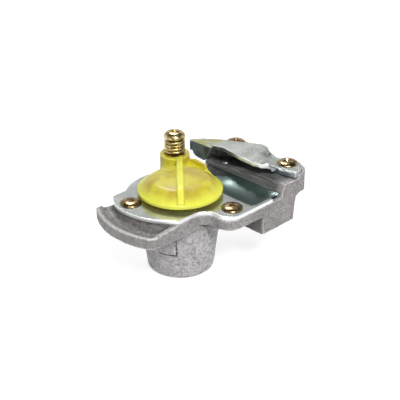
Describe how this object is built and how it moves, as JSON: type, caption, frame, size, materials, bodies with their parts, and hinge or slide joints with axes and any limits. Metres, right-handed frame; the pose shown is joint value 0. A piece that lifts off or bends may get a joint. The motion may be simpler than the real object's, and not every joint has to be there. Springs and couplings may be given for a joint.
{
  "type": "gladhand air brake coupler",
  "caption": "Palm coupling head for a lorry air brake hose: cast body on a threaded port boss, plated face and claw plates, rubber seal under a sprung yellow swivel cover.",
  "frame": {"origin": "centre of the port mouth, on the bottom face of the boss", "axes": "+Z along the port and seal axis, up through the seal face; +X towards the claw; +Y towards the cover's pivot"},
  "size_m": [0.099, 0.0667, 0.0616],
  "materials": {
    "cast_aluminium": "rough",
    "zinc_sheet": "satin",
    "yellow_plastic": "gloss",
    "yellow_zinc": "gloss",
    "bright_steel": "gloss",
    "black_rubber": "matte"
  },
  "bodies": {
    "base": {"body": "cast_aluminium", "face_plate": "zinc_sheet", "claw_plate": "zinc_sheet", "seal_ring": "black_rubber", "pivot_bolt": "yellow_zinc", "cover_spring": "yellow_zinc", "detent_spring": "bright_steel", "face_screw_left": "yellow_zinc", "face_screw_middle": "yellow_zinc", "claw_screw_right": "yellow_zinc", "claw_screw_back": "yellow_zinc"},
    "lift": {"spring_washer": "yellow_zinc"},
    "cover": {"cover": "yellow_plastic"},
    "ball": {"detent_ball": "bright_steel"}
  },
  "joints": [
    {"name": "cover_lift", "type": "slide", "parent": "base", "child": "lift", "axis": [0, 0, 1], "range_m": [0, 0.002], "stiffness_N_per_m": 1500, "springref_m": -0.003, "deforming": ["cover_spring"]},
    {"name": "cover_swivel", "type": "hinge", "parent": "lift", "child": "cover", "pos_m": [0.01698, 0.0215, 0.0435], "axis": [0, 0, 1], "range_deg": [-120, 0]},
    {"name": "ball_press", "type": "slide", "parent": "base", "child": "ball", "axis": [0, 0, 1], "range_m": [-0.0011, 0], "stiffness_N_per_m": 2000, "springref_m": 0.001, "deforming": ["detent_spring"]}
  ]
}
